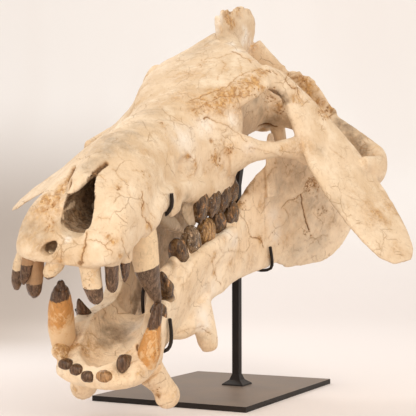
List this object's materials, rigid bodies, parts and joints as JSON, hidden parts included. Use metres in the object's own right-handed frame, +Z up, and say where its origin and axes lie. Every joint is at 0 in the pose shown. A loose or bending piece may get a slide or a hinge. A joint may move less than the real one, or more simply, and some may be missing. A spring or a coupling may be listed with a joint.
{
  "type": "fossil entelodont skull on a stand",
  "caption": "Life-size fossil entelodont skull, jaws agape, with canines, cheek flanges and jaw knobs, carried by a welded square post, bent rods and a flat steel plate.",
  "frame": {"origin": "on the floor under the middle of the base plate", "axes": "+Z up; +Y along the plate's long side, the skull faces -Y; +X to the skull's own left"},
  "size_m": [0.5183, 0.5442, 0.5019],
  "materials": {
    "bone": "dry fossil bone, cream to tan",
    "jaw bone": "dry fossil bone, cream to tan",
    "enamel": "dark glossy fossil enamel and amber root",
    "black steel": "satin black paint"
  },
  "bodies": {
    "root": {"cranium": "bone", "mandible": "jaw bone", "upper_canine_left": "enamel", "upper_canine_right": "enamel", "lower_canine_left": "enamel", "lower_canine_right": "enamel", "stand_base": "black steel", "stand_post": "black steel", "stand_jaw_rear_arm": "black steel", "stand_jaw_front_arm": "black steel", "stand_palate_arm": "black steel"}
  },
  "joints": []
}
